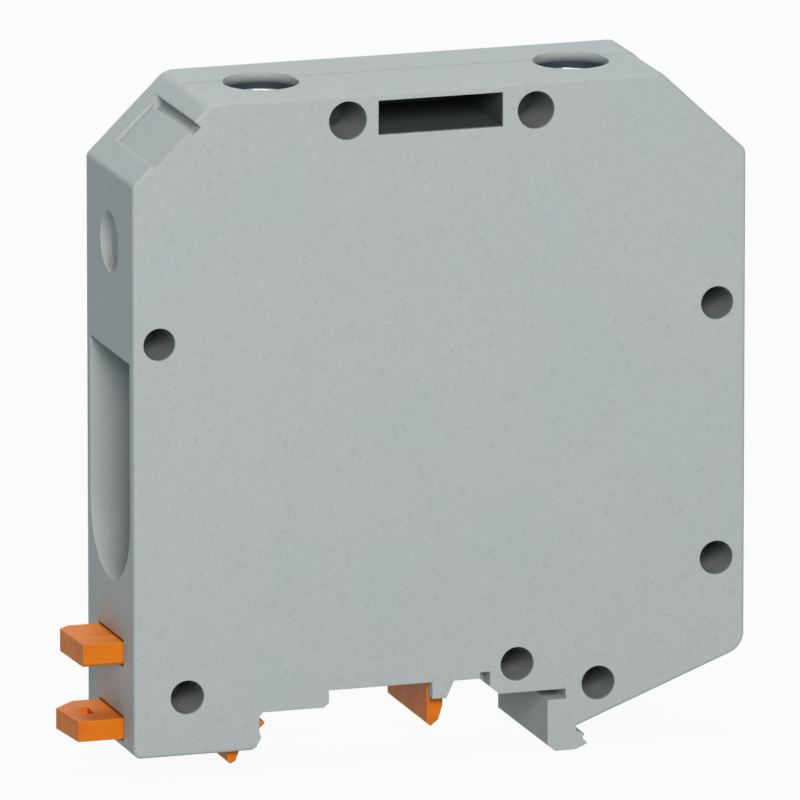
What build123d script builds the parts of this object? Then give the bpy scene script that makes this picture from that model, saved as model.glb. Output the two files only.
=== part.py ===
import os
from math import hypot

from build123d import *

# Sizes are in millimetres. X runs along the block, Y through its thickness and Z up.
# The origin is on the rail's centre line, in the plane of the rail seat, at mid-thickness.

# Moulded block
block_length = 70.5
block_thickness = 17.8
block_top = 69.0
front_shell_depth = 10.6
side_wall = 1.4
rail_from_left = 32.1
corner_round = 2.5
edge_round = 0.4
left_bevel_length = 9.0
left_bevel_height = 8.8
right_bevel_length = 9.8
right_bevel_height = 9.4
right_heel_height = 3.2
rear_top_step = 0.15

# Mounting rail that the block clips on, and the foot that fits it
rail_width = 35.0
rail_flange = 1.0
rail_fit = 0.15
rail_side_gap = 0.25
recess_height = 1.9
left_seat_length = 7.0
right_seat_length = 7.7
claw_reach = 2.1
claw_drop = 7.0
left_foot_drop = 4.25
rib_from_left = 34.3
rib_width = 2.5

# Wire entries and clamping rooms
screw_spacing = 35.7
entry_width = 15.0
entry_top = 40.0
left_entry_bottom = 14.2
right_entry_bottom = 16.4
room_gap = 0.3
recess_radius = 3.4
recess_depth = 1.2
recess_level = 52.1

# Clamp: folded steel frame, nut plate, screw, pad and copper bar
frame_length = 14.0
frame_sheet = 1.6
frame_floor = 2.0
frame_roof = 3.0
frame_gap = 0.2
frame_corner = 1.2
bar_top = 16.4
bar_thickness = 3.0
bar_side_gap = 0.2
nut_height = 6.0
tunnel_height = 23.6
nut_inset = 0.5
screw_radius = 4.0
screw_sunk = 1.5
socket_width = 4.0
socket_depth = 4.5
thread_gap = 0.05
chimney_gap = 0.2
pad_height = 3.4
pad_length = 12.0
pad_side_gap = 0.2
pad_top_gap = 0.6
pad_lift = 0.2
spigot_radius = 2.5
spigot_gap = 0.1
ring_height = 0.6
ring_radius = 3.6
ring_room = 0.25
groove_depth = 0.5
rivet_radius = 1.25
rivet_spacing = 8.0

# Pins that join the shells, in the round holes of the front face
pin_end_depth = 7.5
press_gap = 0.02

# Window and marker grooves
window_from_left = 28.1
window_width = 14.3
window_low = 64.05
window_high = 67.9
window_back = 6.0
groove_back = 5.0
groove_floor = 0.45
groove_slot = 1.1
groove_rim = 1.2

# Rail catches and their springs
catch_width = 9.2
catch_gap = 0.3
head_width = 14.4
head_gap = 0.3
upper_catch_low = 5.5
upper_catch_high = 8.0
upper_catch_reach = 4.8
upper_travel = 3.0
blade_from_left = 34.2
blade_width = 1.8
blade_drop = 3.5
lower_catch_low = -2.9
lower_catch_high = -0.6
lower_catch_reach = 5.7
lower_travel = 2.5
nose_reach = 1.1
lip_from_left = 11.2
lip_width = 1.4
lip_drop = 6.0
stop_width = 1.5
stop_inset = 3.7
spring_radius = 1.25
spring_wire = 0.4
spring_turns = 4
spring_end_gap = 0.1
upper_spring_from_left = 13.5
upper_spring_length = 9.0
lower_spring_from_left = 3.5
lower_spring_length = 6.8

left = -rail_from_left
right = left + block_length
middle = (left + right) / 2
front = -block_thickness / 2
rear = block_thickness / 2
parting = front + front_shell_depth
hollow_half = rear - side_wall
notch = -rail_width / 2 - rail_side_gap
screw_places = {"left": middle - screw_spacing / 2, "right": middle + screw_spacing / 2}
frame_half_width = hollow_half - frame_gap
tunnel_half = frame_half_width - frame_sheet
bar_bottom = bar_top - bar_thickness
frame_bottom = bar_bottom - frame_floor
nut_bottom = bar_top + tunnel_height
nut_top = nut_bottom + nut_height
frame_top = nut_top + frame_roof
room_bottom = frame_bottom - frame_gap / 2
room_top = frame_top + room_gap
room_half_length = frame_length / 2 + room_gap
chimney_radius = screw_radius + chimney_gap
screw_top = block_top - screw_sunk
pad_top = nut_bottom - pad_top_gap
pad_bottom = pad_top - pad_height
shoulder = pad_top + pad_lift
overrun = 1.0

# Places of the joining holes: distance from the left end, height, radius
pin_places = [
    (24.6, block_top - 3.1, 2.15),
    (46.2, block_top - 3.35, 2.1),
    (3.0, entry_top + 2.3, 1.8),
    (block_length - 3.3, entry_top + 2.5, 1.85),
    (6.1, 2.35, 1.9),
    (44.1, 3.25, 1.9),
    (53.5, 0.4, 1.9),
    (block_length - 3.3, 13.6, 1.9),
]


def along(from_left):
    return left + from_left


def across(y):
    return Plane.XZ.offset(-y)


def level(z):
    return Plane.XY.offset(z)


def end_on(x):
    return Plane.YZ.offset(x)


def block(x_span, y_span, z_span, mode=Mode.ADD):
    """A straight-sided body or room between two limits in each direction."""
    with BuildSketch(level(z_span[0])) as plan:
        with Locations((sum(x_span) / 2, sum(y_span) / 2)):
            Rectangle(x_span[1] - x_span[0], y_span[1] - y_span[0])
    extrude(plan.sketch, amount=z_span[1] - z_span[0], mode=mode)


def profile(points, y_span, mode=Mode.ADD):
    """A side view outline in X and Z, carried through the thickness."""
    with BuildSketch(across(y_span[1])) as side:
        with BuildLine():
            Polyline(*points, close=True)
        make_face()
    extrude(side.sketch, amount=y_span[1] - y_span[0], mode=mode)


def foot_line():
    """The underside from the left corner to the right heel, round the rail."""
    seat = notch + 0.4
    seat_end = seat + left_seat_length
    rib = along(rib_from_left)
    claw_slot_end = rail_width / 2 + rail_fit
    claw = claw_slot_end - claw_reach
    slot = rail_flange + rail_fit
    right_seat = claw_slot_end - right_seat_length
    toe = -claw_drop
    return [
        (left, -left_foot_drop),
        (notch - 1.0, -left_foot_drop),
        (notch - 0.4, 0.35 - left_foot_drop),
        (notch + 0.2, 1.35 - left_foot_drop),
        (notch, 2.1 - left_foot_drop),
        (notch, -0.4),
        (seat, 0),
        (seat_end, 0),
        (seat_end + 0.6, 0.5),
        (seat_end + 0.6, recess_height),
        (rib, recess_height),
        (rib, 0),
        (rib + rib_width - 0.9, 0),
        (rib + rib_width, recess_height),
        (right_seat - 2.3, recess_height),
        (right_seat, 0),
        (claw_slot_end, 0),
        (claw_slot_end, -slot),
        (claw, -slot),
        (claw, toe + 0.7),
        (claw + 0.9, toe),
        (claw + 3.2, toe),
        (claw + 4.6, toe + 0.6),
        (claw + 4.0, toe + 1.3),
        (claw + 4.3, toe + 1.7),
        (claw + 3.3, toe + 2.1),
        (claw + 3.3, toe + 2.6),
        (right, right_heel_height),
    ]


def block_outline(sketch, top):
    """Draw the side view of the block, with its bevelled shoulders and rounded corners."""
    shoulders = [
        (right, block_top - right_bevel_height),
        (right - right_bevel_length, top),
        (left + left_bevel_length, top),
        (left, block_top - left_bevel_height),
    ]
    with BuildLine() as border:
        Polyline(*foot_line(), *shoulders, close=True)
    make_face(border.edges())
    rounds = [
        ((left + left_bevel_length, top), corner_round),
        ((right - right_bevel_length, top), corner_round / 2),
        ((left, block_top - left_bevel_height), corner_round / 3),
        ((right, block_top - right_bevel_height), corner_round / 2),
        ((right, right_heel_height), corner_round),
        ((left, -left_foot_drop), corner_round / 3),
    ]
    for (x, z), radius in rounds:
        nearest = sketch.vertices().sort_by(lambda corner: hypot(corner.X - x, corner.Y - z))[0]
        fillet(nearest, radius)


def shell_body(shell, y_span, top, face):
    """One half of the block, solid, with a small round along the edge of its outer face."""
    with BuildSketch(across(y_span[1])) as outline:
        block_outline(outline, top)
    extrude(outline.sketch, amount=y_span[1] - y_span[0])
    rims = shell.edges().filter_by_position(Axis.Y, face, face)
    fillet([rim for rim in rims if rim.center().Z > block_top / 2 or rim.length > block_top / 2], edge_round)


def wire_entry(mouth, inner, bottom):
    """A round-bottomed way in for the wire, from an end face to its clamping room."""
    half = entry_width / 2
    centre = bottom + half
    with BuildSketch(end_on(min(mouth, inner))) as section:
        with BuildLine():
            Polyline((half, centre), (half, entry_top), (-half, entry_top), (-half, centre))
            ThreePointArc((-half, centre), (0, bottom), (half, centre))
        make_face()
    extrude(section.sketch, amount=abs(mouth - inner), mode=Mode.SUBTRACT)


def carve_rooms():
    """Everything that is hollow in both shells, apart from the joining holes.

    Between the rooms the moulding is solid.
    """
    for place in screw_places.values():
        room = (place - room_half_length, place + room_half_length)
        block(room, (-hollow_half, hollow_half), (room_bottom, room_top), Mode.SUBTRACT)
        with BuildSketch(level(room_top)) as chimney:
            with Locations((place, 0)):
                Circle(chimney_radius)
        extrude(chimney.sketch, amount=block_top + overrun - room_top, mode=Mode.SUBTRACT)
    wire_entry(left - overrun, screw_places["left"] - room_half_length, left_entry_bottom)
    wire_entry(right + overrun, screw_places["right"] + room_half_length, right_entry_bottom)
    bar_half = tunnel_half - bar_side_gap + press_gap
    bar_room = (bar_bottom - press_gap, bar_top + press_gap)
    block((screw_places["left"], screw_places["right"]), (-bar_half, bar_half), bar_room, Mode.SUBTRACT)
    carve_catch_ways()
    carve_ends()
    for side in ("left", "right"):
        carve_marker_groove(side)
    window = (along(window_from_left), along(window_from_left) + window_width)
    block(window, (front - overrun, window_back), (window_low, window_high), Mode.SUBTRACT)


def carve_catch_ways():
    """The two slots that the rail catches slide in, and the rooms for their heads."""
    way_half = catch_width / 2 + catch_gap
    head_half = head_width / 2 + head_gap
    blade = along(blade_from_left)
    upper_way = (upper_catch_low - catch_gap, upper_catch_high + catch_gap)
    block((left - overrun, blade), (-way_half, way_half), upper_way, Mode.SUBTRACT)
    blade_room = (blade - upper_travel - catch_gap, along(rib_from_left) + rib_width + catch_gap)
    block(blade_room, (-head_half, head_half), (-overrun, upper_way[1]), Mode.SUBTRACT)
    lower_way = (lower_catch_low - catch_gap, lower_catch_high + catch_gap)
    lip = along(lip_from_left)
    head_start = lip - lower_travel - 1.0 - catch_gap
    block((left - overrun, lip), (-way_half, way_half), lower_way, Mode.SUBTRACT)
    block((head_start, notch + overrun), (-head_half, head_half), lower_way, Mode.SUBTRACT)
    lip_room = (lip - lower_travel - catch_gap, lip + lip_width + catch_gap)
    block(lip_room, (-head_half, head_half), (-left_foot_drop - overrun, lower_way[0]), Mode.SUBTRACT)


def carve_ends():
    """A shallow round recess high on each end face."""
    for x, reach in ((left, recess_depth), (right, -recess_depth)):
        with BuildSketch(end_on(x)) as recess:
            with Locations((0, recess_level)):
                Circle(recess_radius)
        extrude(recess.sketch, amount=reach, mode=Mode.SUBTRACT)


def carve_marker_groove(side):
    """Cuts in a bevelled shoulder that hold a marker strip: a floor, and a slot at its upper end.

    Each cut runs between two shares of the bevel's length, to a depth square to the bevel. The left
    groove is open at the plain face, and a thin rim closes the right one.
    """
    if side == "left":
        foot = Vector(left, block_top - left_bevel_height)
        head = Vector(left + left_bevel_length, block_top)
        inward = 1
        groove_front = front - overrun
    else:
        foot = Vector(right, block_top - right_bevel_height)
        head = Vector(right - right_bevel_length, block_top)
        inward = -1
        groove_front = front + groove_rim
    run = head - foot
    square = Vector(run.Y, -run.X).normalized() * inward
    for low, high, depth in ((0.24, 0.69, groove_floor), (0.68, 0.78, groove_slot)):
        start = foot + run * low - square * overrun
        stop = foot + run * high - square * overrun
        deep = square * (depth + overrun)
        corners = [start, stop, stop + deep, start + deep]
        profile([(corner.X, corner.Y) for corner in corners], (groove_front, groove_back), Mode.SUBTRACT)


def pin_rods(y_span, gap=0, mode=Mode.ADD):
    """A round rod or hole at each joining place, through a stretch of the thickness."""
    with BuildSketch(across(y_span[1])) as circles:
        for from_left, height, radius in pin_places:
            with Locations((along(from_left), height)):
                Circle(radius + gap)
    extrude(circles.sketch, amount=y_span[1] - y_span[0], mode=mode)


pin_end = front + pin_end_depth

# Front shell: the plain face with its window and joining holes
with BuildPart() as front_shell:
    shell_body(front_shell, (front, parting), block_top - rear_top_step, front)
    carve_rooms()
    pin_rods((front - overrun, parting), press_gap, Mode.SUBTRACT)
    slant = rail_width / 2 + rail_fit - right_seat_length - 2.2
    block((slant, slant + 1.1), (front - overrun, front + 2.5), (0, recess_height + 0.7), Mode.SUBTRACT)
    stop_span = (-catch_width / 2 - catch_gap, stop_inset - catch_width / 2)
    for spring_start, low, high in (
        (upper_spring_from_left, upper_catch_low, upper_catch_high),
        (lower_spring_from_left, lower_catch_low, lower_catch_high),
    ):
        stop_end = along(spring_start)
        block((stop_end - stop_width, stop_end), stop_span, (low - catch_gap, high + catch_gap))
front_shell.part.label = "front_shell"

# Rear shell: closes the rooms from behind
with BuildPart() as rear_shell:
    shell_body(rear_shell, (parting, rear), block_top, rear)
    carve_rooms()
    pin_rods((parting - overrun, rear + overrun), press_gap, Mode.SUBTRACT)
rear_shell.part.label = "rear_shell"

# Joining pins: eight plain pins pressed through both shells, flush behind and deep in their holes in front
with BuildPart() as joining_pins:
    pin_rods((pin_end, rear))
joining_pins.part.label = "joining_pins"


def rivets(place, gap, mode=Mode.ADD):
    """The two rivets that hold the bar in one clamp frame, peened flush at both ends."""
    with BuildSketch(level(frame_bottom)) as shanks:
        with Locations((place - rivet_spacing / 2, 0), (place + rivet_spacing / 2, 0)):
            Circle(rivet_radius + gap)
    extrude(shanks.sketch, amount=bar_top - frame_bottom, mode=mode)


# Current bar: flat copper strip from clamp to clamp, ribbed where the wires are pressed on it
with BuildPart() as current_bar:
    bar_reach = frame_length / 2 - 0.5
    bar_half = tunnel_half - bar_side_gap
    bar_span = (screw_places["left"] - bar_reach, screw_places["right"] + bar_reach)
    block(bar_span, (-bar_half, bar_half), (bar_bottom, bar_top))
    chamfer(current_bar.edges().filter_by(Axis.Y).group_by(Axis.Z)[-1], 0.6)
    for place in screw_places.values():
        for step in (-1, 0, 1):
            rib = place + step * 1.6
            block((rib - 0.3, rib + 0.3), (-bar_half, bar_half), (bar_top - 0.3, bar_top), Mode.SUBTRACT)
        rivets(place, press_gap, Mode.SUBTRACT)
current_bar.part.label = "current_bar"


def clamp_frame(place):
    """A steel strip folded into a closed frame, open along the wire."""
    with BuildSketch(end_on(place - frame_length / 2)) as section:
        with Locations((0, (frame_bottom + frame_top) / 2)):
            Rectangle(2 * frame_half_width, frame_top - frame_bottom)
        fillet(section.vertices(), frame_corner)
        with Locations((0, (bar_bottom + nut_top) / 2)):
            Rectangle(2 * tunnel_half, nut_top - bar_bottom, mode=Mode.SUBTRACT)
    extrude(section.sketch, amount=frame_length)
    with BuildSketch(level(nut_top)) as screw_hole:
        with Locations((place, 0)):
            Circle(screw_radius + 2 * chimney_gap)
    extrude(screw_hole.sketch, amount=frame_roof, mode=Mode.SUBTRACT)
    rivets(place, press_gap, Mode.SUBTRACT)


def nut_plate(place):
    """The threaded plate under the frame's roof, with its long edges eased."""
    half_length = frame_length / 2 - nut_inset
    half_width = tunnel_half - pad_side_gap / 2
    with BuildSketch(level(nut_bottom)) as plan:
        with Locations((place, 0)):
            Rectangle(2 * half_length, 2 * half_width)
            chamfer(plan.vertices(), 0.8)
            Circle(screw_radius + thread_gap, mode=Mode.SUBTRACT)
    extrude(plan.sketch, amount=nut_height)


def clamp_screw(place):
    """A socket screw with a slim end that carries the pad, grooved for the retaining ring."""
    ring_low = pad_top - pad_height / 2 - ring_room - ring_height
    core = spigot_radius - groove_depth
    tip = ring_low - 0.5
    with BuildSketch(Plane.XZ) as half:
        with BuildLine():
            Polyline(
                (place, tip),
                (place + spigot_radius - 0.3, tip),
                (place + spigot_radius, tip + 0.3),
                (place + spigot_radius, ring_low),
                (place + core, ring_low),
                (place + core, ring_low + ring_height),
                (place + spigot_radius, ring_low + ring_height),
                (place + spigot_radius, shoulder),
                (place + screw_radius - 0.6, shoulder),
                (place + screw_radius, shoulder + 0.6),
                (place + screw_radius, screw_top - 0.7),
                (place + screw_radius - 0.7, screw_top),
                (place, screw_top),
                close=True,
            )
        make_face()
    revolve(half.sketch, axis=Axis((place, 0, 0), (0, 0, 1)))
    with BuildSketch(level(screw_top)) as socket:
        with Locations((place, 0)):
            RegularPolygon(socket_width / 2, 6, major_radius=False)
    extrude(socket.sketch, amount=-socket_depth, mode=Mode.SUBTRACT)


def pressure_pad(place):
    """The pad that presses the wire down, hollowed underneath to clear the ring."""
    half_width = tunnel_half - pad_side_gap
    nose = 1.2
    profile(
        [
            (place - pad_length / 2, pad_bottom + nose),
            (place - pad_length / 2 + nose, pad_bottom),
            (place + pad_length / 2 - nose, pad_bottom),
            (place + pad_length / 2, pad_bottom + nose),
            (place + pad_length / 2, pad_top),
            (place - pad_length / 2, pad_top),
        ],
        (-half_width, half_width),
    )
    for radius, height in ((spigot_radius, pad_height), (ring_radius, pad_height / 2)):
        with BuildSketch(level(pad_bottom)) as bore:
            with Locations((place, 0)):
                Circle(radius + spigot_gap)
        extrude(bore.sketch, amount=height, mode=Mode.SUBTRACT)


def pad_ring(place):
    """A retaining ring with a gap, sprung into the screw's groove."""
    ring_low = pad_top - pad_height / 2 - ring_room - ring_height
    with BuildSketch(level(ring_low)) as ring:
        with Locations((place, 0)):
            Circle(ring_radius)
            Circle(spigot_radius - groove_depth + press_gap, mode=Mode.SUBTRACT)
        with Locations((place + ring_radius / 2, 0)):
            Rectangle(ring_radius + overrun, 1.6, mode=Mode.SUBTRACT)
    extrude(ring.sketch, amount=ring_height)


makers = {
    "clamp_frame": clamp_frame,
    "nut_plate": nut_plate,
    "clamp_screw": clamp_screw,
    "pressure_pad": pressure_pad,
    "pad_ring": pad_ring,
}
clamp_parts = []
for side, place in screw_places.items():
    for name, make in makers.items():
        with BuildPart() as piece:
            make(place)
        piece.part.label = f"{side}_{name}"
        clamp_parts.append(piece.part)
    with BuildPart() as bar_rivets:
        rivets(place, 0)
    bar_rivets.part.label = f"{side}_bar_rivets"
    clamp_parts.append(bar_rivets.part)


def spring_notch(spring_start, spring_length, z_span):
    """The side of a catch cut away for its spring and for the stop on the front shell."""
    x_span = (along(spring_start) - stop_width - spring_end_gap, along(spring_start) + spring_length)
    block(x_span, (-catch_width / 2 - overrun, stop_inset + catch_gap - catch_width / 2), z_span, Mode.SUBTRACT)


def tab_end(tip, point, shy):
    """The free end of a tab seen from above: slightly skewed, with its rear corner cut away."""
    half = catch_width / 2
    return [(left, -half), (tip + shy, -half), (tip, half - point), (tip + point, half), (left, half)]


def catch_bar(reach, inner, z_span, point, shy):
    """A flat catch bar with its tab outside the end face."""
    tip = left - reach
    with BuildSketch(level(z_span[0])) as plan:
        with BuildLine():
            Polyline(*tab_end(tip, point, shy), close=True)
        make_face()
        with Locations(((left + inner) / 2, 0)):
            Rectangle(inner - left, catch_width)
    extrude(plan.sketch, amount=z_span[1] - z_span[0])


head_span = (-head_width / 2, head_width / 2)

# Upper catch: a long flat bar with a blade that hangs into the rail's trough
with BuildPart() as upper_catch:
    upper_span = (upper_catch_low, upper_catch_high)
    blade = along(blade_from_left)
    catch_bar(upper_catch_reach, blade + blade_width / 2, upper_span, 1.2, 0.3)
    profile(
        [
            (blade, upper_catch_high),
            (blade, 0.4 - blade_drop),
            (blade + 0.4, -blade_drop),
            (blade + 1.3, 0.7 - blade_drop),
            (blade + blade_width, 2.35 - blade_drop),
            (blade + blade_width, upper_catch_high),
        ],
        head_span,
    )
    corners = upper_catch.edges().filter_by(Axis.X).group_by(Axis.Z)[0]
    chamfer(corners, 0.3)
    spring_notch(upper_spring_from_left, upper_spring_length, upper_span)
upper_catch.part.label = "upper_catch"

# Lower catch: its nose goes under the rail's flange, and its lip hangs below the foot
with BuildPart() as lower_catch:
    lower_span = (lower_catch_low, lower_catch_high)
    lip = along(lip_from_left)
    head_start = lip - 1.0
    catch_bar(lower_catch_reach, lip, lower_span, 2.6, 0.6)
    block((head_start, notch - 0.2), head_span, lower_span)
    profile(
        [
            (notch - 0.2, lower_catch_low),
            (notch - 0.2, lower_catch_high),
            (notch + 0.25, -rail_flange - rail_fit),
            (notch + nose_reach, -rail_flange - 0.5),
            (notch + nose_reach, -rail_flange - 0.7),
        ],
        head_span,
    )
    profile(
        [
            (lip, lower_catch_low),
            (lip, 0.3 - lip_drop),
            (lip + 0.3, -lip_drop),
            (lip + 0.9, 0.3 - lip_drop),
            (lip + lip_width, 1.6 - lip_drop),
            (lip + lip_width, lower_catch_low),
        ],
        head_span,
    )
    with BuildSketch(level(lower_catch_high)):
        with Locations((left - lower_catch_reach / 2, 0)):
            Rectangle(1.2, 3.2)
    extrude(amount=-1.0, mode=Mode.SUBTRACT)
    spring_notch(lower_spring_from_left, lower_spring_length, lower_span)
lower_catch.part.label = "lower_catch"


def coil_spring(spring_start, spring_length, z):
    """A small compression spring along X, between the stop and the catch."""
    start = along(spring_start) + spring_end_gap
    length = spring_length - 2 * spring_end_gap - spring_wire
    y = (stop_inset - catch_width) / 2
    path_radius = spring_radius - spring_wire / 2
    with BuildLine() as coil:
        Helix(
            pitch=length / spring_turns,
            height=length,
            radius=path_radius,
            center=(start + spring_wire / 2, y, z),
            direction=(1, 0, 0),
        )
    with BuildSketch(coil.line ^ 0) as wire:
        RegularPolygon(spring_wire / 2, 4)
    sweep(wire.sketch, path=coil.line, is_frenet=True)


springs = []
for name, start, length, low, high in (
    ("upper_catch_spring", upper_spring_from_left, upper_spring_length, upper_catch_low, upper_catch_high),
    ("lower_catch_spring", lower_spring_from_left, lower_spring_length, lower_catch_low, lower_catch_high),
):
    with BuildPart() as spring:
        coil_spring(start, length, (low + high) / 2)
    spring.part.label = name
    springs.append(spring.part)

os.makedirs("parts", exist_ok=True)
export_step(front_shell.part, "parts/front_shell.step")
export_step(rear_shell.part, "parts/rear_shell.step")
export_step(joining_pins.part, "parts/joining_pins.step")
export_step(current_bar.part, "parts/current_bar.step")
export_step(upper_catch.part, "parts/upper_catch.step")
export_step(lower_catch.part, "parts/lower_catch.step")
for piece in clamp_parts + springs:
    export_step(piece, f"parts/{piece.label}.step")
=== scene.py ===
import math

import bpy
import numpy as np
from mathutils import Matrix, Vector


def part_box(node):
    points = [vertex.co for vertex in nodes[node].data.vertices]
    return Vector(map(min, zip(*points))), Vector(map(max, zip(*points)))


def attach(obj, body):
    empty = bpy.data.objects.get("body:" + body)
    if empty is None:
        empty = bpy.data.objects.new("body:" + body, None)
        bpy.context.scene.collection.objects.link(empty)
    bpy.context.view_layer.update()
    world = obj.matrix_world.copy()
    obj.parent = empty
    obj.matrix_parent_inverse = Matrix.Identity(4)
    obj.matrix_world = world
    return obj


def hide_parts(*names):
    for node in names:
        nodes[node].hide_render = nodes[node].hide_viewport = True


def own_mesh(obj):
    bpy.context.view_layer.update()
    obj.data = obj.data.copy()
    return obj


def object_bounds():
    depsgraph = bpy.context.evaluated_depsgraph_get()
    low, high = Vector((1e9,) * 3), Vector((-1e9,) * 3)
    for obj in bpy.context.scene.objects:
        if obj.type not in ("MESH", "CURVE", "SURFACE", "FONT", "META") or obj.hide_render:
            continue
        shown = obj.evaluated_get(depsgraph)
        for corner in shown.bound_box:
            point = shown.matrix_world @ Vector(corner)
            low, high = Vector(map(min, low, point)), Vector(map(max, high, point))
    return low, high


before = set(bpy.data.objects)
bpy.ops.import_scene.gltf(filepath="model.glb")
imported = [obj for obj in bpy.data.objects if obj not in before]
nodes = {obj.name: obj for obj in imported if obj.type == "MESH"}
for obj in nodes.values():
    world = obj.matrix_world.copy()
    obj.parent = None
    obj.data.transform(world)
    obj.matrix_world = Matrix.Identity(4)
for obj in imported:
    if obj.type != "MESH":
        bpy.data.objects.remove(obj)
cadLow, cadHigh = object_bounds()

# Rail-mounted terminal block: light grey moulded halves, orange rail catches, steel screw clamps.
# Lengths in the settings are in millimetres, as the real sizes are read. Only the floor, the lamps
# and the camera's distance are in metres.

mm = 0.001
scene = bpy.context.scene
scene.view_settings.view_transform = "Standard"


def linearColour(code):
    # sRGB hex to the linear colour that the shaders use
    channels = [int(code[i:i + 2], 16) / 255 for i in (1, 3, 5)]
    linear = [c / 12.92 if c <= 0.04045 else ((c + 0.055) / 1.055) ** 2.4 for c in channels]
    return (*linear, 1.0)


def addNode(tree, kind, inputs=None, **settings):
    # A node with its settings. A socket as input is linked, anything else is its value. Inputs go by
    # name, or by number where a node has several of one name: a colour Mix has its factor at 0 and
    # its colours at 6 and 7, and gives the mixed colour at 2.
    node = tree.nodes.new(kind)
    for name, value in settings.items():
        setattr(node, name, value)
    for name, value in (inputs or {}).items():
        if isinstance(value, bpy.types.NodeSocket):
            tree.links.new(value, node.inputs[name])
        else:
            node.inputs[name].default_value = value
    return node


def newMaterial(name):
    # an empty material and the object's own coordinates, which every pattern starts from
    material = bpy.data.materials.new(name)
    material.use_nodes = True
    tree = material.node_tree
    tree.nodes.clear()
    return material, tree, addNode(tree, "ShaderNodeTexCoord").outputs["Object"]


def finishMaterial(tree, inputs):
    # the shader with what the material has worked out for it
    shader = addNode(tree, "ShaderNodeBsdfPrincipled", inputs)
    addNode(tree, "ShaderNodeOutputMaterial", {"Surface": shader.outputs["BSDF"]})


def softEdges(tree, radius):
    # Shading normal as if the edges had a small radius, and how far it turns from the flat face. The
    # limits are cosines: 6 degrees still counts as flat, 31 degrees and more as an edge.
    soft = addNode(tree, "ShaderNodeBevel", {"Radius": radius * mm}, samples=6).outputs["Normal"]
    flat = addNode(tree, "ShaderNodeNewGeometry").outputs["True Normal"]
    facing = addNode(tree, "ShaderNodeVectorMath", {0: soft, 1: flat}, operation="DOT_PRODUCT")
    turned = addNode(tree, "ShaderNodeMapRange", {
        "Value": facing.outputs["Value"], "From Min": 0.995, "From Max": 0.86, "To Min": 0.0, "To Max": 1.0})
    return soft, turned.outputs["Result"]


def mottle(tree, place, size, detail=2.0, low=0.35, high=0.65):
    # noise with features of this size in millimetres, stretched so that low to high runs from 0 to 1
    raw = addNode(tree, "ShaderNodeTexNoise", {
        "Vector": place, "Scale": 1 / (size * mm), "Detail": detail, "Roughness": 0.5})
    spread = addNode(tree, "ShaderNodeMapRange", {
        "Value": raw.outputs["Fac"], "From Min": low, "From Max": high})
    return spread.outputs["Result"]


def layered(tree, base, layers):
    # colours laid over a base one after the other, each as strongly as its own pattern says
    colour = linearColour(base)
    for strength, code in layers:
        mix = addNode(tree, "ShaderNodeMix", {0: strength, 6: colour, 7: linearColour(code)},
                      data_type="RGBA")
        colour = mix.outputs[2]
    return colour


# Painted shade in the openings of the moulding, their inside painted darker the deeper it lies: the window
# high in the plain face, a pocket here and open to the hollow inside on a real block, the holes over the
# joining pins, and the screw wells. The shares say how much of the painted dark shade each gets.
paintedOpeningShade = {
    "shade": "#27353a",
    "windowShare": 0.85,
    "windowFromLeft": 28.1,
    "windowWidth": 14.3,
    "windowLow": 64.05,
    "windowHigh": 67.9,
    "holeShare": 0.45,
    "holesApart": 5.0,
    "faceStart": 0.1,         # depth where the shade starts behind the plain face
    "faceFull": 0.6,          # and where it has its whole share
    "backSkin": 0.6,          # left bare under the face at the back
    "wellShare": 1.0,
    "wellGap": 0.2,           # between a screw and its well
    "screwsApart": 50.0,      # more than a screw is long, so that each is one round
    "wellStart": 0.1,         # depth below the top, again where the shade starts
    "wellFull": 1.0,          # and where it has its whole share
    "wellBelowScrew": 1.0,    # how far it goes on below the top of the screw
    "margin": 0.1,            # added round every opening, so that its walls are inside
}


def nodeRounds(name, apart):
    # Middle and radius of each round solid in a node, from the lowest and highest of its points. Points
    # that lie nearer in X and Z than apart to the first one left belong to one solid.
    points = np.empty(len(nodes[name].data.vertices) * 3)
    nodes[name].data.vertices.foreach_get("co", points)
    points = points.reshape(-1, 3)
    rounds = []
    while len(points):
        near = np.linalg.norm((points - points[0])[:, (0, 2)], axis=1) < apart * mm
        low, high = points[near].min(axis=0), points[near].max(axis=0)
        rounds.append(((low + high) / 2, (high - low)[0] / 2))
        points = points[~near]
    return rounds


def insideRounds(tree, place, across, rounds, spare):
    # 1 nearer to one of the axes than its radius and the spare; across is 0 along the axes
    flat = addNode(tree, "ShaderNodeVectorMath", {0: place, 1: across}, operation="MULTIPLY").outputs[0]
    inside = 0.0
    for centre, radius in rounds:
        middle = [float(c * a) for c, a in zip(centre, across)]
        away = addNode(tree, "ShaderNodeVectorMath", {0: flat, 1: middle}, operation="DISTANCE")
        here = addNode(tree, "ShaderNodeMath", {
            0: away.outputs["Value"], 1: 0.0, 2: float(radius) + spare * mm}, operation="COMPARE")
        either = addNode(tree, "ShaderNodeMath", {0: here.outputs[0], 1: inside}, operation="MAXIMUM")
        inside = either.outputs[0]
    return inside


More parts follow.
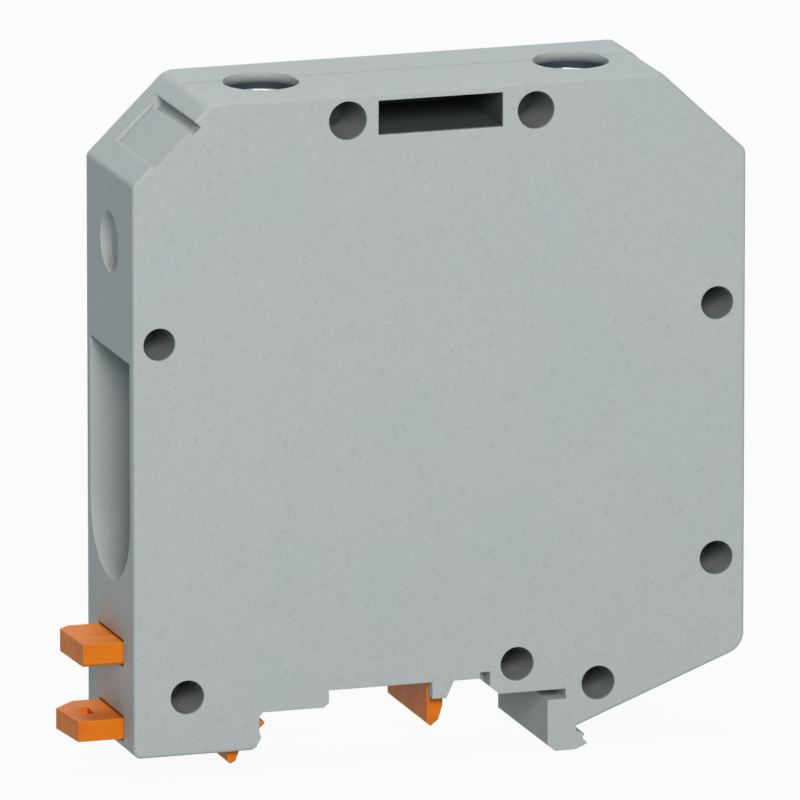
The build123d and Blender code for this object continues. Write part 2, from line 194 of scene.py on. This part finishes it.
def paintedShadeInOpenings(tree, place):
    # How much painted shade each place gets: 0 on the outer faces, towards 1 inside the openings, by the
    # place alone
    look = paintedOpeningShade
    shellLow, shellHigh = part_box("front_shell")
    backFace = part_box("rear_shell")[1].y
    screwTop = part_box("left_clamp_screw")[1].z
    axes = addNode(tree, "ShaderNodeSeparateXYZ", {"Vector": place}).outputs
    halfWidth = look["windowWidth"] / 2
    halfHeight = (look["windowHigh"] - look["windowLow"]) / 2
    insideX = addNode(tree, "ShaderNodeMath", {
        0: axes["X"],
        1: shellLow.x + (look["windowFromLeft"] + halfWidth) * mm,
        2: (halfWidth + look["margin"]) * mm,
    }, operation="COMPARE")
    insideZ = addNode(tree, "ShaderNodeMath", {
        0: axes["Z"],
        1: (look["windowLow"] + halfHeight) * mm,
        2: (halfHeight + look["margin"]) * mm,
    }, operation="COMPARE")
    slit = addNode(tree, "ShaderNodeMath", {0: insideX.outputs[0], 1: insideZ.outputs[0]},
                   operation="MULTIPLY")
    window = addNode(tree, "ShaderNodeMath", {0: slit.outputs[0], 1: look["windowShare"]},
                     operation="MULTIPLY")
    pins = nodeRounds("joining_pins", look["holesApart"])
    overPins = insideRounds(tree, place, (1, 0, 1), pins, look["margin"])
    holes = addNode(tree, "ShaderNodeMath", {0: overPins, 1: look["holeShare"]}, operation="MULTIPLY")
    behind = addNode(tree, "ShaderNodeMapRange", {
        "Value": axes["Y"],
        "From Min": shellLow.y + look["faceStart"] * mm,
        "From Max": shellLow.y + look["faceFull"] * mm,
    })
    inFront = addNode(tree, "ShaderNodeMath", {0: axes["Y"], 1: backFace - look["backSkin"] * mm},
                      operation="LESS_THAN")
    either = addNode(tree, "ShaderNodeMath", {0: window.outputs[0], 1: holes.outputs[0]}, operation="MAXIMUM")
    deep = addNode(tree, "ShaderNodeMath", {0: either.outputs[0], 1: behind.outputs[0]},
                   operation="MULTIPLY")
    inFace = addNode(tree, "ShaderNodeMath", {0: deep.outputs[0], 1: inFront.outputs[0]},
                     operation="MULTIPLY")
    screws = [nodeRounds(side + "_clamp_screw", look["screwsApart"])[0] for side in ("left", "right")]
    wells = insideRounds(tree, place, (1, 1, 0), screws, look["wellGap"] + look["margin"])
    aboveScrew = addNode(tree, "ShaderNodeMath", {0: axes["Z"], 1: screwTop - look["wellBelowScrew"] * mm},
                         operation="GREATER_THAN")
    below = addNode(tree, "ShaderNodeMapRange", {
        "Value": axes["Z"],
        "From Min": shellHigh.z - look["wellStart"] * mm,
        "From Max": shellHigh.z - look["wellFull"] * mm,
        "To Max": look["wellShare"],
    })
    room = addNode(tree, "ShaderNodeMath", {0: wells, 1: aboveScrew.outputs[0]}, operation="MULTIPLY")
    inTop = addNode(tree, "ShaderNodeMath", {0: room.outputs[0], 1: below.outputs[0]}, operation="MULTIPLY")
    both = addNode(tree, "ShaderNodeMath", {0: inFace.outputs[0], 1: inTop.outputs[0]}, operation="MAXIMUM")
    return both.outputs[0]


# Polyamide 66, injection moulded in a spark-eroded steel mould: a dry, even light grey with a
# fine matt grain, faint warm and cool clouds from the flow of the melt, and a painted highlight on the edges
# where they would catch the light.
greyPolyamide = {
    "body": "#b6bfbe",
    "warm": "#b9bebd",
    "cool": "#b3bdbe",
    "fleck": "#bec6c5",
    # painted highlight, laid on where the edges turn
    "pit": "#adb7b8",
    "edge": "#bec6c5",
    "clouds": 12.0,
    "smallClouds": 4.44,
    "flecks": 0.45,         # real glass fibre is finer, drawn coarser so that it shows
    "pits": 0.54,
    "grain": 0.3,           # the real grain is finer, drawn coarser so that it shows
    "grainDepth": 0.01,
    "smoothest": 0.53,
    "roughest": 0.65,
    "ior": 1.53,
    "specular": 0.35,
    "edgeRadius": 0.16,
}


def greyPolyamideMaterial():
    look = greyPolyamide
    material, tree, place = newMaterial("greyPolyamide")
    soft, turned = softEdges(tree, look["edgeRadius"])
    grain = mottle(tree, place, look["grain"], low=0.2, high=0.8)
    bump = addNode(tree, "ShaderNodeBump", {
        "Height": grain, "Distance": look["grainDepth"] * mm, "Strength": 1.0, "Normal": soft})
    sheen = addNode(tree, "ShaderNodeMapRange", {
        "Value": grain, "To Min": look["smoothest"], "To Max": look["roughest"]})
    colour = layered(tree, look["cool"], [
        (mottle(tree, place, look["clouds"], 3.0), look["warm"]),
        (mottle(tree, place, look["smallClouds"], low=0.3, high=0.7), look["body"]),
        (mottle(tree, place, look["flecks"], 1.0, low=0.6, high=0.78), look["fleck"]),
        (mottle(tree, place, look["pits"], 1.0, low=0.4, high=0.24), look["pit"]),
        # painted highlight on the edges
        (turned, look["edge"]),
        # painted shade inside the window, the holes over the pins and the screw wells
        (paintedShadeInOpenings(tree, place), paintedOpeningShade["shade"]),
    ])
    finishMaterial(tree, {
        "Base Color": colour,
        "Roughness": sheen.outputs["Result"],
        "Normal": bump.outputs["Normal"],
        "IOR": look["ior"],
        "Specular IOR Level": look["specular"],
    })
    return material


# The same polyamide dyed orange for the rail catches: a little glossier, because their mould
# is polished for sliding, with a painted highlight, paler, along the edges. The melt leaves streaks along X.
orangePolyamide = {
    "body": "#ea8412",
    "deep": "#de6f0e",
    # painted highlight, laid on where the edges turn
    "edge": "#ee9a38",
    "streaks": 2.4,
    "stretch": (0.35, 1.0, 1.0),
    "grain": 0.22,          # coarser than the real grain, so that it shows
    "grainDepth": 0.006,
    "roughness": 0.5,
    "ior": 1.53,
    "specular": 0.2,
    "edgeRadius": 0.14,
}


def orangePolyamideMaterial():
    look = orangePolyamide
    material, tree, place = newMaterial("orangePolyamide")
    soft, turned = softEdges(tree, look["edgeRadius"])
    along = addNode(tree, "ShaderNodeMapping", {"Vector": place, "Scale": look["stretch"]}).outputs["Vector"]
    grain = mottle(tree, place, look["grain"], low=0.2, high=0.8)
    bump = addNode(tree, "ShaderNodeBump", {
        "Height": grain, "Distance": look["grainDepth"] * mm, "Strength": 1.0, "Normal": soft})
    colour = layered(tree, look["deep"], [
        (mottle(tree, along, look["streaks"], 3.0), look["body"]),
        # painted highlight on the edges
        (turned, look["edge"]),
    ])
    finishMaterial(tree, {
        "Base Color": colour,
        "Roughness": look["roughness"],
        "Normal": bump.outputs["Normal"],
        "IOR": look["ior"],
        "Specular IOR Level": look["specular"],
    })
    return material


# Carbon-black polyamide for the pins that join the halves: nearly black, with a satin, scuffed end face.
blackPolyamide = {
    "body": "#2a383d",
    "worn": "#3c4a4e",
    "scuffs": 1.1,
    "roughness": 0.5,
    "ior": 1.53,
    "edgeRadius": 0.12,
}


def blackPolyamideMaterial():
    look = blackPolyamide
    material, tree, place = newMaterial("blackPolyamide")
    soft, turned = softEdges(tree, look["edgeRadius"])
    colour = layered(tree, look["body"], [
        (mottle(tree, place, look["scuffs"], 3.0, low=0.45, high=0.75), look["worn"]),
        (turned, look["worn"]),
    ])
    finishMaterial(tree, {
        "Base Color": colour,
        "Roughness": look["roughness"],
        "Normal": soft,
        "IOR": look["ior"],
    })
    return material


# Steel with bright zinc plating, blue passivated: silvery, a little cloudy, with faint blue and
# straw tints, and fine upright drawing lines left from the strip.
zincPlate = {
    "silver": "#c9cdd0",
    "blue": "#b7c2cf",
    "straw": "#cdc6b2",
    "tints": 3.5,
    "strawPatches": 5.95,
    "lines": 0.12,          # real drawing lines are far finer, drawn coarser so that they show
    "lineStretch": (1.0, 1.0, 0.06),
    "lineDepth": 0.004,
    "lineStrength": 0.6,
    "smoothest": 0.25,
    "roughest": 0.38,
    "edgeRadius": 0.18,
}


def zincPlateMaterial():
    look = zincPlate
    material, tree, place = newMaterial("zincPlatedSteel")
    soft, _ = softEdges(tree, look["edgeRadius"])
    tint = mottle(tree, place, look["tints"])
    along = addNode(tree, "ShaderNodeMapping", {"Vector": place, "Scale": look["lineStretch"]})
    lines = mottle(tree, along.outputs["Vector"], look["lines"], 1.0, low=0.2, high=0.8)
    bump = addNode(tree, "ShaderNodeBump", {
        "Height": lines,
        "Distance": look["lineDepth"] * mm,
        "Strength": look["lineStrength"],
        "Normal": soft,
    })
    dull = addNode(tree, "ShaderNodeMapRange", {
        "Value": tint, "To Min": look["smoothest"], "To Max": look["roughest"]})
    colour = layered(tree, look["blue"], [
        (tint, look["silver"]),
        (mottle(tree, place, look["strawPatches"], 1.0, low=0.55, high=0.8), look["straw"]),
    ])
    finishMaterial(tree, {
        "Base Color": colour,
        "Roughness": dull.outputs["Result"],
        "Normal": bump.outputs["Normal"],
        "Metallic": 1.0,
    })
    return material


# Rolled copper bar and rivets: warm metal, brown where the air has reached it, rolling lines along X.
rolledCopper = {
    "bright": "#d68f66",
    "brown": "#9c5a3a",
    "patches": 4.0,
    "lines": 0.1,           # coarser than real rolling lines, so that they show
    "lineStretch": (0.05, 1.0, 1.0),
    "lineDepth": 0.003,
    "lineStrength": 0.6,
    "roughness": 0.33,
    "edgeRadius": 0.15,
}


def rolledCopperMaterial():
    look = rolledCopper
    material, tree, place = newMaterial("rolledCopper")
    soft, _ = softEdges(tree, look["edgeRadius"])
    along = addNode(tree, "ShaderNodeMapping", {"Vector": place, "Scale": look["lineStretch"]})
    lines = mottle(tree, along.outputs["Vector"], look["lines"], 1.0, low=0.2, high=0.8)
    bump = addNode(tree, "ShaderNodeBump", {
        "Height": lines,
        "Distance": look["lineDepth"] * mm,
        "Strength": look["lineStrength"],
        "Normal": soft,
    })
    colour = layered(tree, look["bright"], [
        (mottle(tree, place, look["patches"], 4.0, low=0.42, high=0.7), look["brown"]),
    ])
    finishMaterial(tree, {
        "Base Color": colour,
        "Roughness": look["roughness"],
        "Normal": bump.outputs["Normal"],
        "Metallic": 1.0,
    })
    return material


# Patented, cold drawn spring wire: dark bright steel with an oil film and fine drawing marks.
springWire = {
    "steel": "#85888b",
    "oil": "#6b6c6a",
    "film": 1.2,
    "marks": 0.08,          # coarser than real marks, so that they show
    "markDepth": 0.002,
    "markStrength": 0.5,
    "roughness": 0.3,
}


def springWireMaterial():
    look = springWire
    material, tree, place = newMaterial("drawnSpringSteel")
    marks = mottle(tree, place, look["marks"], 1.0, low=0.2, high=0.8)
    bump = addNode(tree, "ShaderNodeBump", {
        "Height": marks, "Distance": look["markDepth"] * mm, "Strength": look["markStrength"]})
    finishMaterial(tree, {
        "Base Color": layered(tree, look["oil"], [(mottle(tree, place, look["film"]), look["steel"])]),
        "Roughness": look["roughness"],
        "Normal": bump.outputs["Normal"],
        "Metallic": 1.0,
    })
    return material


greyPlastic = greyPolyamideMaterial()
orangePlastic = orangePolyamideMaterial()
blackPlastic = blackPolyamideMaterial()
zincSteel = zincPlateMaterial()
copper = rolledCopperMaterial()
springSteel = springWireMaterial()

finishes = {
    "front_shell": greyPlastic,
    "rear_shell": greyPlastic,
    "joining_pins": blackPlastic,
    "current_bar": copper,
    "upper_catch": orangePlastic,
    "lower_catch": orangePlastic,
}
for side in ("left", "right"):
    finishes[side + "_clamp_frame"] = zincSteel
    finishes[side + "_nut_plate"] = zincSteel
    finishes[side + "_pressure_pad"] = zincSteel
    finishes[side + "_pad_ring"] = springSteel
    finishes[side + "_bar_rivets"] = copper
for name, material in finishes.items():
    for slot in nodes[name].material_slots:
        slot.material = material
print("finishes given to", len(finishes), "nodes")


def gridMesh(name, grid, sharpAngle):
    # rows of points round a closed form: quads between the rows, each end closed by a fan to its middle
    rows, columns = grid.shape[:2]
    index = np.arange(rows * columns).reshape(rows, columns)
    beside = np.roll(index, -1, axis=1)
    quads = np.stack([index[:-1], beside[:-1], beside[1:], index[1:]], axis=-1).reshape(-1, 4)
    lowPole = np.full(columns, rows * columns)
    lowFan = np.stack([beside[0], index[0], lowPole], axis=-1)
    highFan = np.stack([index[-1], beside[-1], lowPole + 1], axis=-1)
    points = np.vstack([grid.reshape(-1, 3), grid[0].mean(axis=0), grid[-1].mean(axis=0)])
    mesh = bpy.data.meshes.new(name)
    mesh.from_pydata(points.tolist(), [], quads.tolist() + lowFan.tolist() + highFan.tolist())
    mesh.polygons.foreach_set("use_smooth", np.ones(len(mesh.polygons), dtype=bool))
    mesh.set_sharp_from_angle(angle=math.radians(sharpAngle))
    mesh.update()
    piece = bpy.data.objects.new(name, mesh)
    scene.collection.objects.link(piece)
    return piece


# Clamp screw: metric thread, hexagon socket, slim end that carries the pressure pad
clampScrew = {
    "radius": 4.0,
    "pitch": 1.25,
    "threadDepth": 0.68,
    "threadFade": 0.9,      # length over which the thread runs out at each end
    "leadCone": 0.55,       # how much slimmer the shank starts
    "tipRadius": 2.2,
    "tipInset": 1.2,
    "tipCone": 0.3,
    "spigotRadius": 2.5,
    "grooveRadius": 2.0,
    "grooveLow": 36.85,
    "grooveHigh": 37.45,
    "shoulder": 39.6,
    "step": 0.05,           # height over which the radius changes at the groove
    "shoulderEdge": 0.01,   # and on each side of the shoulder
    "crown": [(0.3, 0.45), (0.08, 0.7), (0.0, 0.95)],     # below the top, in from the radius
    "plainTop": 0.5,
    "socketWidth": 4.0,
    "socketDepth": 4.5,
    "socketChamfer": 0.35,
    "socketRing": 2.0,      # depth of one more ring of points on the socket's sides
    "floorLedge": 0.5,
    "drillPoint": (0.6, 1.6),                             # below the socket's floor, in from its sides
    "columns": 72,
    "rowsPerTurn": 10,
    "sharpAngle": 40.0,
}


def threadedScrew(side):
    # A profile of heights and radii turned round the screw's axis. On the shank the radius loses a
    # triangle wave of height less turn, which winds it into a thread; in the socket the radius is a
    # hexagon's, the half width over the cosine of the angle from the nearest flat's middle.
    look = clampScrew
    node = side + "_clamp_screw"
    low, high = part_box(node)
    centre = (low.x + high.x) / 2
    tip, top = low.z / mm, high.z / mm
    radius, spigot, shoulder, step = (look[key] for key in ("radius", "spigotRadius", "shoulder", "step"))
    shankTop = top - look["plainTop"]
    threadRows = int((top - shoulder) / look["pitch"] * look["rowsPerTurn"])
    shank = np.linspace(shoulder + look["shoulderEdge"], shankTop, threadRows)
    under = [
        (tip, look["tipInset"]), (tip, look["tipRadius"]), (tip + look["tipCone"], spigot),
        (look["grooveLow"] - step, spigot), (look["grooveLow"], look["grooveRadius"]),
        (look["grooveHigh"], look["grooveRadius"]), (look["grooveHigh"] + step, spigot),
        (shoulder - look["shoulderEdge"], spigot),
    ]
    crown = [(top - down, radius - inward) for down, inward in look["crown"]]
    floor = top - look["socketDepth"]
    chamfer = look["socketChamfer"]
    pointDepth, pointInset = look["drillPoint"]
    socket = [(top, chamfer), (top - chamfer, 0.0), (top - look["socketRing"], 0.0),
              (floor, 0.0), (floor, -look["floorLedge"]), (floor - pointDepth, -pointInset)]
    turn = np.arange(look["columns"]) / look["columns"]
    hexagon = look["socketWidth"] / 2 / np.cos(((turn * 6 + 0.5) % 1 - 0.5) * math.pi / 3)
    wave = np.abs((shank[:, None] / look["pitch"] - turn) % 1 * 2 - 1)
    fadeIn = np.clip((shank - shoulder) / look["threadFade"], 0, 1)[:, None]
    fadeOut = np.clip((shankTop - shank) / look["threadFade"], 0, 1)[:, None]
    thread = radius - look["leadCone"] * (1 - fadeIn) - look["threadDepth"] * wave * fadeIn * fadeOut
    plain, rim, key = (np.array([r for z, r in rows])[:, None] + 0 * turn for rows in (under, crown, socket))
    radii = np.concatenate([plain, thread, rim, key + hexagon])
    heights = np.concatenate([[z for z, r in under], shank, [z for z, r in crown + socket]])
    angle = 2 * math.pi * turn
    grid = np.stack([
        centre + radii * np.cos(angle) * mm,
        radii * np.sin(angle) * mm,
        np.broadcast_to(heights[:, None] * mm, radii.shape),
    ], axis=-1)
    screw = gridMesh(side + "ClampScrew", grid, look["sharpAngle"])
    screw.data.materials.append(zincSteel)
    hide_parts(node)
    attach(screw, side + "_screw")


for side in ("left", "right"):
    threadedScrew(side)
print("clamp screws threaded")

# Catch springs: round wire, close wound at both ends
catchSpring = {
    "wire": 0.4,
    "turns": 7.5,
    "closedTurns": 1.2,
    "openingTurns": 0.5,    # turns over which the pitch widens from closed to open
    "closedSlack": 1.02,    # how much further apart than the wire's width the closed turns lie
    "wireSides": 12,
    "stepsPerTurn": 28,
    "sharpAngle": 50.0,
}


def roundSpring(name, catch):
    # A tube along a helix round X. The pitch is just over the wire's own width in the closed turns at
    # each end and widens smoothly between them, and its running sum gives the place along X.
    look = catchSpring
    node = catch + "_spring"
    low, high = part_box(node)
    wireRadius = look["wire"] * mm / 2
    coil = (high.y - low.y) / 2 - wireRadius
    steps = int(look["turns"] * look["stepsPerTurn"]) + 1
    turn = np.linspace(0, look["turns"], steps)
    fromEnd = np.minimum(turn, look["turns"] - turn)
    opened = np.clip((fromEnd - look["closedTurns"]) / look["openingTurns"], 0, 1)
    opened = opened * opened * (3 - 2 * opened)
    stepTurn = turn[1] - turn[0]
    closedRun = np.cumsum(np.full(steps, 2 * wireRadius * stepTurn)) * look["closedSlack"]
    openRun = np.cumsum(opened) * stepTurn
    spare = high.x - low.x - 2 * wireRadius - closedRun[-1]
    x = low.x + wireRadius + closedRun - closedRun[0] + openRun / openRun[-1] * spare
    angle = 2 * math.pi * turn
    middleY, middleZ = (low.y + high.y) / 2, (low.z + high.z) / 2
    path = np.stack([x, middleY + coil * np.cos(angle), middleZ + coil * np.sin(angle)], axis=-1)
    along = np.gradient(path, axis=0)
    along /= np.linalg.norm(along, axis=1)[:, None]
    outward = np.stack([0 * angle, np.cos(angle), np.sin(angle)], axis=-1)
    outward -= (outward * along).sum(axis=1)[:, None] * along
    outward /= np.linalg.norm(outward, axis=1)[:, None]
    sideways = np.cross(along, outward)
    around = np.linspace(0, 2 * math.pi, look["wireSides"], endpoint=False)
    grid = (path[:, None, :] + wireRadius * np.cos(around)[None, :, None] * outward[:, None, :]
            + wireRadius * np.sin(around)[None, :, None] * sideways[:, None, :])
    spring = gridMesh(name, grid, look["sharpAngle"])
    spring.data.materials.append(springSteel)
    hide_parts(node)
    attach(spring, "housing")
    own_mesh(spring)


roundSpring("upperCatchSpring", "upper_catch")
roundSpring("lowerCatchSpring", "lower_catch")
print("springs wound")

# Studio: pale floor, a broad lamp overhead, one in front on the viewer's side that reaches into the
# openings, one behind for the views from there, and a faint blue sky that fills the shade
studio = {
    "floorSize": 6.0,
    "floorColour": "#c3cfd3",
    "floorGlow": 0.94,        # share of plain white that the camera sees on the floor
    "skyFill": 0.05,
    "skyTint": "#a0d8f0",
    "lampDistance": 1.3,
}

# azimuth in degrees to the right of the plain face, size in metres, power in watts
lamps = {
    "overheadLamp": {"azimuth": 0.0, "elevation": 89.0, "size": 0.5, "power": 4.1, "colour": "#f2fbf6"},
    "frontLamp": {"azimuth": -12.0, "elevation": 25.0, "size": 0.5, "power": 12.5, "colour": "#fff7f4"},
    "backLamp": {"azimuth": 185.0, "elevation": 48.0, "size": 0.5, "power": 5.4, "colour": "#fbfdff"},
}


def rayFromEye(tree):
    # 1 for what the camera sees straight, in a reflection or through glass
    path = addNode(tree, "ShaderNodeLightPath").outputs
    straight = addNode(tree, "ShaderNodeMath", {0: path["Is Camera Ray"], 1: path["Is Glossy Ray"]},
                       operation="MAXIMUM")
    seen = addNode(tree, "ShaderNodeMath", {0: straight.outputs[0], 1: path["Is Transmission Ray"]},
                   operation="MAXIMUM")
    return seen.outputs[0]


def paleFloor():
    # a flat square at the model's lowest height, painted pale and nearly white to the camera
    look = studio
    half = look["floorSize"] / 2
    corners = np.array([(-1, -1), (1, -1), (1, 1), (-1, 1)]) * half
    points = np.column_stack([corners, np.full(4, cadLow.z)])
    mesh = bpy.data.meshes.new("paleFloor")
    mesh.from_pydata(points.tolist(), [], [(0, 1, 2, 3)])
    floor = bpy.data.objects.new("paleFloor", mesh)
    scene.collection.objects.link(floor)
    material = bpy.data.materials.new("paleFloorPaint")
    material.use_nodes = True
    tree = material.node_tree
    tree.nodes.clear()
    paint = addNode(tree, "ShaderNodeBsdfDiffuse", {"Color": linearColour(look["floorColour"])})
    glow = addNode(tree, "ShaderNodeEmission", {"Color": (1, 1, 1, 1), "Strength": 1.0})
    share = addNode(tree, "ShaderNodeMath", {0: rayFromEye(tree), 1: look["floorGlow"]}, operation="MULTIPLY")
    mix = addNode(tree, "ShaderNodeMixShader", {0: share.outputs[0], 1: paint.outputs[0], 2: glow.outputs[0]})
    addNode(tree, "ShaderNodeOutputMaterial", {"Surface": mix.outputs[0]})
    mesh.materials.append(material)


def paleSky():
    # white to the camera, a faint blue fill to everything else
    world = bpy.data.worlds.new("paleSky")
    world.use_nodes = True
    tree = world.node_tree
    tree.nodes.clear()
    fill = addNode(tree, "ShaderNodeBackground", {
        "Color": linearColour(studio["skyTint"]), "Strength": studio["skyFill"]})
    white = addNode(tree, "ShaderNodeBackground", {"Color": (1, 1, 1, 1), "Strength": 1.0})
    mix = addNode(tree, "ShaderNodeMixShader", {0: rayFromEye(tree), 1: fill.outputs[0], 2: white.outputs[0]})
    addNode(tree, "ShaderNodeOutputWorld", {"Surface": mix.outputs[0]})
    scene.world = world


def direction(azimuth, elevation):
    # unit vector from the object; azimuth 0 is in front of the plain face, positive to the right
    a, e = math.radians(azimuth), math.radians(elevation)
    return Vector((math.sin(a) * math.cos(e), -math.cos(a) * math.cos(e), math.sin(e)))


def lookAt(thing, place, target):
    thing.location = place
    thing.rotation_euler = (target - place).to_track_quat("-Z", "Y").to_euler()


def areaLamp(name):
    look = lamps[name]
    lamp = bpy.data.lights.new(name, "AREA")
    lamp.shape = "DISK"
    lamp.size = look["size"]
    lamp.energy = look["power"]
    lamp.color = linearColour(look["colour"])[:3]
    holder = bpy.data.objects.new(name, lamp)
    scene.collection.objects.link(holder)
    target = (cadLow + cadHigh) / 2
    lookAt(holder, target + direction(look["azimuth"], look["elevation"]) * studio["lampDistance"], target)


paleFloor()
paleSky()
for name in lamps:
    areaLamp(name)
print("studio lit")

# Camera: a long lens from far off, to the left of the plain face and a little above.
# The picture's middle lies beside the object's own middle by the two offsets.
photoCamera = {
    "azimuth": -17.6,
    "elevation": 13.4,
    "distance": 2.1,
    "lens": 857.5,
    "sensor": 36.0,
    "aim": (3.15, 0.0, 31.0),
    "offsetRight": -1.79,
    "offsetUp": 0.75,
}


def photoView():
    look = photoCamera
    camera = bpy.data.cameras.new("photoCamera")
    camera.sensor_width = look["sensor"]
    camera.lens = look["lens"]
    camera.clip_end = 20.0
    holder = bpy.data.objects.new("photoCamera", camera)
    scene.collection.objects.link(holder)
    back = direction(look["azimuth"], look["elevation"])
    right = Vector((0, 0, 1)).cross(back).normalized()
    up = back.cross(right)
    target = (Vector(look["aim"]) + right * look["offsetRight"] + up * look["offsetUp"]) * mm
    lookAt(holder, target + back * look["distance"], target)
    scene.camera = holder


photoView()
print("camera set")
